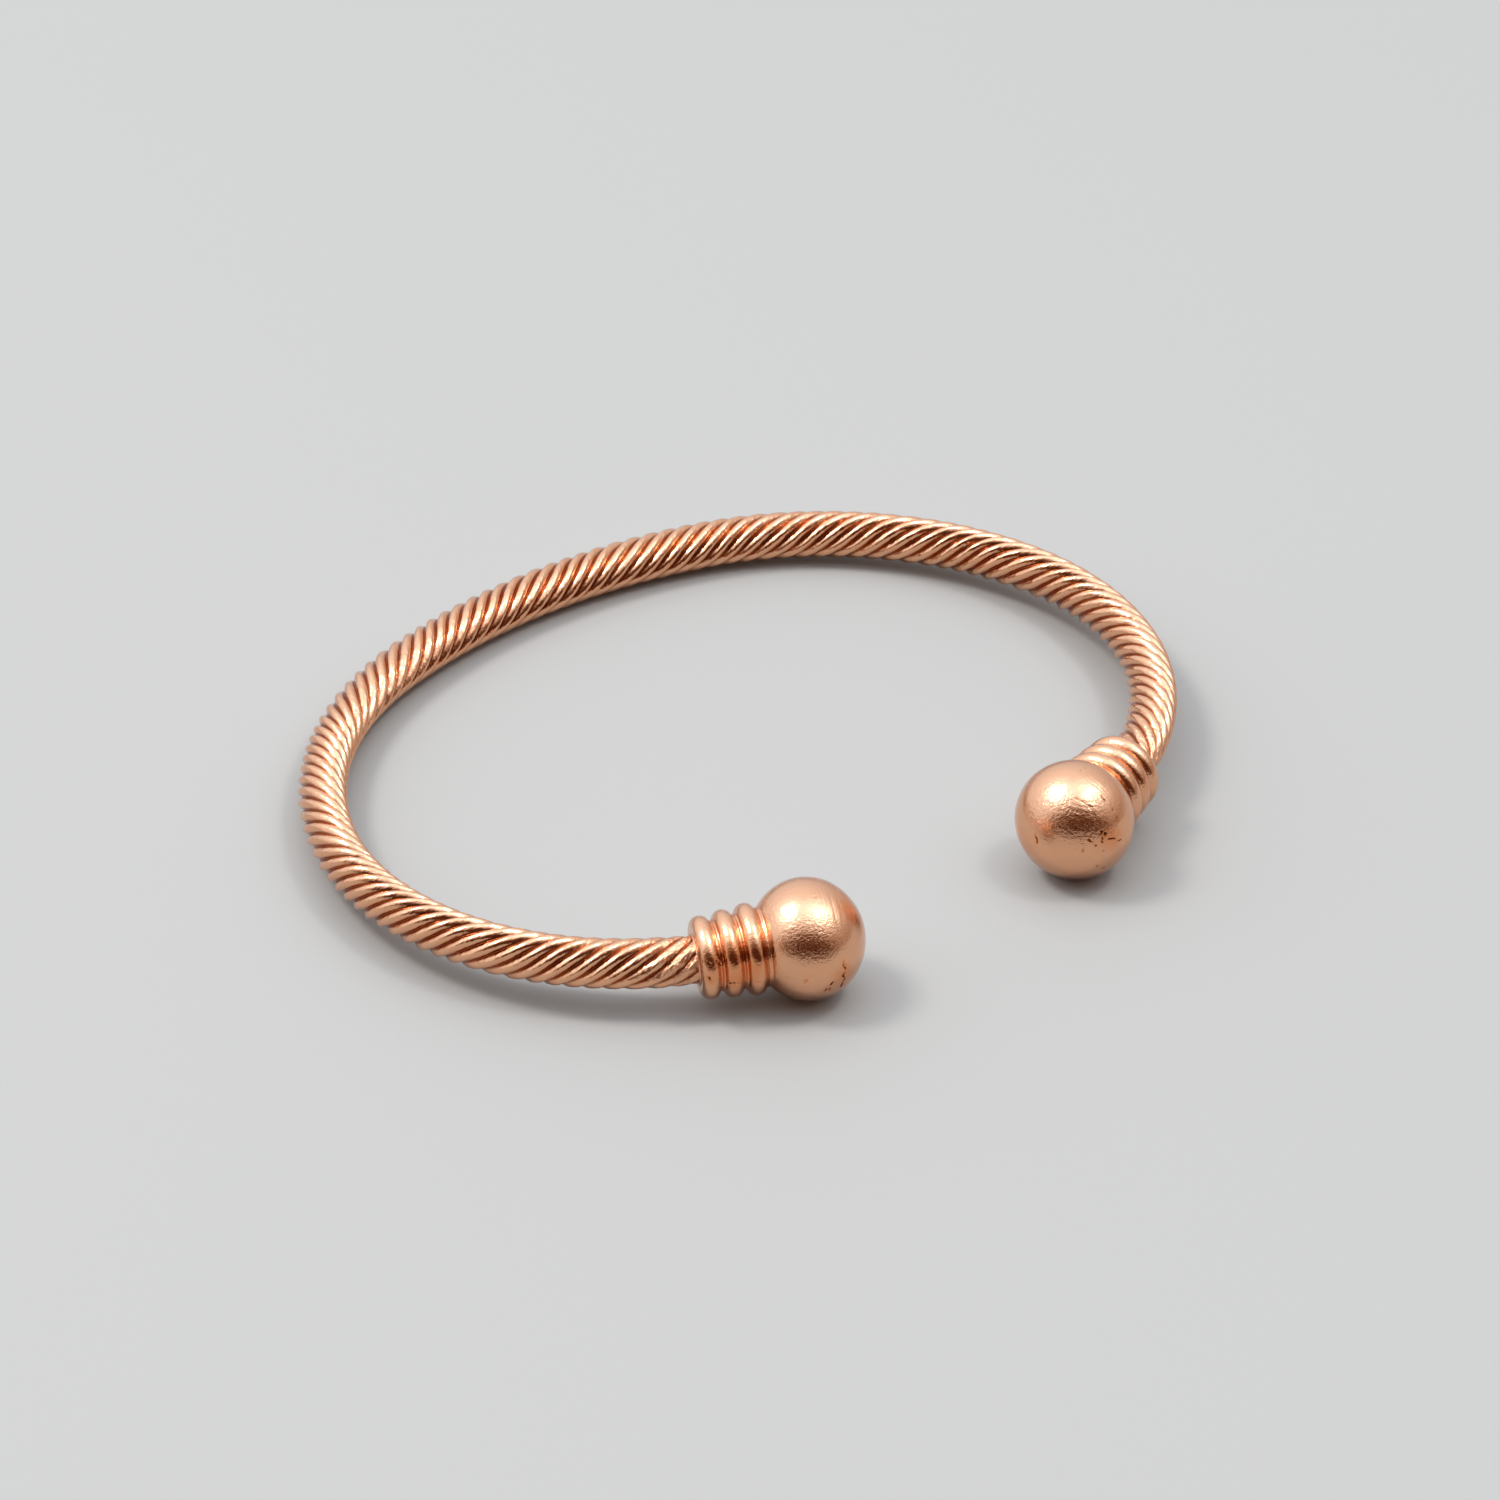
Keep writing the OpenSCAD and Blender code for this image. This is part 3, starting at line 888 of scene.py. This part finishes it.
def weathering_and_painted_light(sizes, name, points):
    """How far each point of a cap is raised, its stain and painted reflection lines, and how each kind of
    patch shows.
    """
    outside = outer_outline(sizes)
    lift = LUMPS * (unevenness(points + SIDES[name] * CAPS_APART, LUMP_WIDTH) - 1)
    stain = none = np.zeros(len(points))
    # The flush starts from the painted orange reflection of the rings in the grooves and beside the bead
    patches = {"flush": RING_REFLECTION_PAINT * painted_ring_reflection(sizes, points), "combed": none, "creased": none}
    ragged = RAGGED * unevenness(points, RAGGED_WIDTH)
    shifted = wandered(points, WANDER_WIDTH)
    for mark in MARKS[name]:
        half_width = mark.half_width * MM
        distance = from_line(shifted, [on_skin(outside, at) for at in mark.line]) + half_width * ragged
        share = soft_edge(distance, half_width)
        lift -= mark.depth * MM * share
        stain = np.maximum(stain, mark.stain * share)
        halo = BLEED_STRENGTH * mark.stain * soft_edge(distance, BLEED * half_width)
        patches["flush"] = np.maximum(patches["flush"], halo)
    for patch in PATCHES[name]:
        distance = from_line(points, [on_skin(outside, patch.at)])
        share = patch.strength * soft_edge(distance, patch.radius * MM)
        patches[patch.kind] = np.maximum(patches[patch.kind], share)
    return lift, stain, patches


def cap_stand(sizes, side):
    """Matrix that stands a cap, made with its mouth at the origin and its axis upwards, in its place."""
    mouth, way = half_line(sizes)[-1], cap_way(sizes)
    axis = Vector((side * way.x, way.y, way.z))
    level = Vector((0, 0, 1)).cross(axis).normalized()
    stand = Matrix((level, axis.cross(level), axis)).transposed().to_4x4()
    stand.translation = (side * mouth.x, mouth.y, 0)
    return np.array(at_rest(sizes) @ stand)


def store(mesh, name, values):
    """Keeps a number or a vector for each point of a mesh, for its material to read."""
    kind, field = ("FLOAT_VECTOR", "vector") if values.ndim == 2 else ("FLOAT", "value")
    attribute = mesh.attributes.new(name, kind, "POINT")
    attribute.data.foreach_set(field, values.ravel().astype(np.float32))


class CUFF_OT_end_caps(Operator):
    """Builds the two turned caps, each with its rings, bead and ball"""

    bl_idname = "cuff.end_caps"
    bl_label = "End caps"

    def execute(self, context):
        sizes = context.scene.cuff_sizes
        outline = np.concatenate([socket_outline(sizes), outer_outline(sizes)])
        copper = satin_cap_copper(context.scene.cuff_colours)
        for name, side in SIDES.items():
            even = np.arange(CAP_SEGMENTS) * math.tau / CAP_SEGMENTS
            turns = even + FACING[name] - CAP_CROWDING * np.sin(even)
            points, ways, lengthwise, faces, lengths = lathe(outline, turns)
            lift, stain, patches = weathering_and_painted_light(sizes, name, points)
            shaped = points + ways * lift[:, None]

            stand = cap_stand(sizes, side)
            mesh = bpy.data.meshes.new("copper_" + name)
            mesh.from_pydata(shaped @ stand[:3, :3].T + stand[:3, 3], [], faces)
            store(mesh, "on_cap", points / MM)
            store(mesh, "lengthwise", lengthwise @ stand[:3, :3].T)
            store(mesh, "travelled", lengths / MM)
            store(mesh, "stain", stain)
            for kind, strength in patches.items():
                store(mesh, kind, strength)
            mesh.materials.append(copper)
            mesh.shade_smooth()
            mesh.update()
            cap = new_object("copper_" + name, mesh)
            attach(cap, "root")
            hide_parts(name)
        return {"FINISHED"}


def from_angles(azimuth, elevation):
    """Direction with an azimuth from -Y towards +X and an elevation over the floor, in degrees."""
    a, e = math.radians(azimuth), math.radians(elevation)
    return Vector((math.sin(a) * math.cos(e), -math.cos(a) * math.cos(e), math.sin(e)))


FLOOR_REACH = 4.0

CAMERA_AZIMUTH, CAMERA_ELEVATION = -36.634, 34.884
CAMERA_TARGET = Vector((2.468, 2.231, 0)) * MM
CAMERA_DISTANCE = 522.72 * MM
CAMERA_LENS, SENSOR_WIDTH = 158.4, 36.0

# Soft boxes: the way to each one from between the balls, its width and its radiance
SoftBox = namedtuple("SoftBox", "way width radiance")
SOFT_BOXES = (
    SoftBox(Vector((-0.408, 0.370, 0.835)), 0.25, 23.0),
    SoftBox(Vector((0.300, -0.260, 0.917)), 0.18, 20.0),
)
BOX_DISTANCE = 0.9
BETWEEN_BALLS = Vector((0, -25.6, 4.7)) * MM

# The room grows brighter upwards and behind the cuff, with a broad glow round each soft box
ROOM_LEVEL = 0.65
BRIGHT_WAY = Vector((-0.21, 0.33, 0.83))
Glow = namedtuple("Glow", "way reach strength")
GLOWS = (
    Glow(SOFT_BOXES[0].way.normalized(), math.radians(36), 0.9),
    Glow(SOFT_BOXES[1].way.normalized(), math.radians(38), 1.2),
)
# The side behind the camera loses this share of its light within one angle, and none past another
SHADE_WAY = from_angles(CAMERA_AZIMUTH, -7)
SHADE = 0.95
SHADE_CORE, SHADE_EDGE = math.radians(41), math.radians(80)
# The room's red, green and blue at a few levels of brightness, warmer where it is dark
ROOM_BRIGHTEST = 4.0
ROOM_TINTS = (
    (0.04, (0.100, 0.040, 0.022)),
    (0.07, (0.137, 0.072, 0.043)),
    (0.25, (0.350, 0.250, 0.210)),
    (0.6, (0.660, 0.600, 0.560)),
    (1.0, (0.930, 1.000, 1.080)),
    (2.0, (1.750, 2.000, 2.300)),
    (4.0, (3.500, 4.000, 4.600)),
)


def pale_board(colours):
    """Plain pale board, too matt to mirror the cuff."""
    material = bpy.data.materials.new("Plain pale board")
    material.use_nodes = True
    shader = material.node_tree.nodes["Principled BSDF"]
    shader.inputs["Base Color"].default_value = colours.floor
    shader.inputs["Roughness"].default_value = 0.6
    shader.inputs["Specular IOR Level"].default_value = 0.15
    return material


def bright_room():
    """World that lights the cuff, with its glows and its shaded side."""
    world = bpy.data.worlds.new("Bright room")
    world.use_nodes = True
    tree = world.node_tree
    tree.nodes.clear()
    way = add(tree, "ShaderNodeTexCoord", out="Generated")
    lit = add(tree, "ShaderNodeVectorMath", {0: way, 1: BRIGHT_WAY}, out="Value", operation="DOT_PRODUCT")
    lit = add(tree, "ShaderNodeMath", {0: lit, 1: ROOM_LEVEL}, operation="ADD")
    for glow in GLOWS:
        near = add(
            tree, "ShaderNodeVectorMath", {0: way, 1: glow.way}, out="Value", operation="DOT_PRODUCT"
        )
        near = add(
            tree,
            "ShaderNodeMapRange",
            {"Value": near, "From Min": math.cos(glow.reach), "To Max": glow.strength},
            interpolation_type="SMOOTHSTEP",
        )
        lit = add(tree, "ShaderNodeMath", {0: lit, 1: near}, operation="ADD")
    near = add(tree, "ShaderNodeVectorMath", {0: way, 1: SHADE_WAY}, out="Value", operation="DOT_PRODUCT")
    left = add(
        tree,
        "ShaderNodeMapRange",
        {
            "Value": near,
            "From Min": math.cos(SHADE_EDGE),
            "From Max": math.cos(SHADE_CORE),
            "To Min": 1.0,
            "To Max": 1 - SHADE,
        },
        interpolation_type="SMOOTHSTEP",
    )
    lit = add(tree, "ShaderNodeMath", {0: lit, 1: left}, operation="MULTIPLY")
    lit = add(tree, "ShaderNodeMath", {0: lit, 1: ROOM_BRIGHTEST}, operation="DIVIDE")
    tint = add(tree, "ShaderNodeValToRGB", {"Fac": lit}, out="Color")
    stops = tint.node.color_ramp.elements
    for i, (level, shade) in enumerate(ROOM_TINTS):
        share = level / ROOM_BRIGHTEST
        stop = stops[i] if i < len(stops) else stops.new(share)
        stop.position, stop.color = share, [part / ROOM_BRIGHTEST for part in shade] + [1]
    backdrop = add(tree, "ShaderNodeBackground", {"Color": tint, "Strength": ROOM_BRIGHTEST})
    tree.links.new(backdrop, tree.nodes.new("ShaderNodeOutputWorld").inputs["Surface"])
    return world


def soft_box(name, box):
    """Disk lamp that faces the balls, with the power that gives it its radiance."""
    data = bpy.data.lights.new(name, "AREA")
    data.shape = "DISK"
    data.size = box.width
    data.energy = box.radiance * math.pi * math.pi * box.width**2 / 4
    lamp = new_object(name, data)
    lamp.location = BETWEEN_BALLS + box.way.normalized() * BOX_DISTANCE
    lamp.rotation_mode = "QUATERNION"
    lamp.rotation_quaternion = box.way.to_track_quat("Z", "Y")


def photo_camera():
    """Camera at the photograph's viewing angle."""
    data = bpy.data.cameras.new("camera")
    data.lens, data.sensor_width = CAMERA_LENS, SENSOR_WIDTH
    data.clip_start, data.clip_end = 0.01, 20
    camera = new_object("camera", data)
    back = from_angles(CAMERA_AZIMUTH, CAMERA_ELEVATION)
    camera.location = CAMERA_TARGET + back * CAMERA_DISTANCE
    camera.rotation_mode = "QUATERNION"
    camera.rotation_quaternion = (-back).to_track_quat("-Z", "Y")
    return camera


class CUFF_OT_studio(Operator):
    """Builds the floor, the lights and the camera"""

    bl_idname = "cuff.studio"
    bl_label = "Floor, lights and camera"

    def execute(self, context):
        scene = context.scene
        mesh = bpy.data.meshes.new("floor")
        reach = FLOOR_REACH
        corners = [(-reach, -reach, 0), (reach, -reach, 0), (reach, reach, 0), (-reach, reach, 0)]
        mesh.from_pydata(corners, [], [(0, 1, 2, 3)])
        mesh.materials.append(pale_board(scene.cuff_colours))
        new_object("floor", mesh)
        for i, box in enumerate(SOFT_BOXES):
            soft_box(f"soft_box_{i + 1}", box)
        scene.world = bright_room()
        scene.view_settings.view_transform = "Standard"
        scene.camera = photo_camera()
        return {"FINISHED"}


class CUFF_PT_panel(Panel):
    """Sizes, colours and pieces of the cuff."""

    bl_idname = "CUFF_PT_panel"
    bl_label = "Twisted copper cuff"
    bl_space_type = "VIEW_3D"
    bl_region_type = "UI"
    bl_category = "Cuff"

    def draw(self, context):
        for group in (context.scene.cuff_sizes, context.scene.cuff_colours):
            column = self.layout.column(align=True)
            for name in group.__annotations__:
                column.prop(group, name)
        for operator in OPERATORS:
            self.layout.operator(operator.bl_idname)


OPERATORS = (CUFF_OT_twisted_bar, CUFF_OT_end_caps, CUFF_OT_studio)
CLASSES = (CuffSizes, CuffColours, *OPERATORS, CUFF_PT_panel)


def register():
    for cls in CLASSES:
        bpy.utils.register_class(cls)
    bpy.types.Scene.cuff_sizes = PointerProperty(type=CuffSizes)
    bpy.types.Scene.cuff_colours = PointerProperty(type=CuffColours)


def unregister():
    del bpy.types.Scene.cuff_colours
    del bpy.types.Scene.cuff_sizes
    for cls in reversed(CLASSES):
        bpy.utils.unregister_class(cls)


def main():
    """Builds the cuff and its studio."""
    register()
    bpy.ops.cuff.twisted_bar()
    bpy.ops.cuff.end_caps()
    bpy.ops.cuff.studio()
    bpy.context.view_layer.update()


if __name__ == "__main__":
    main()
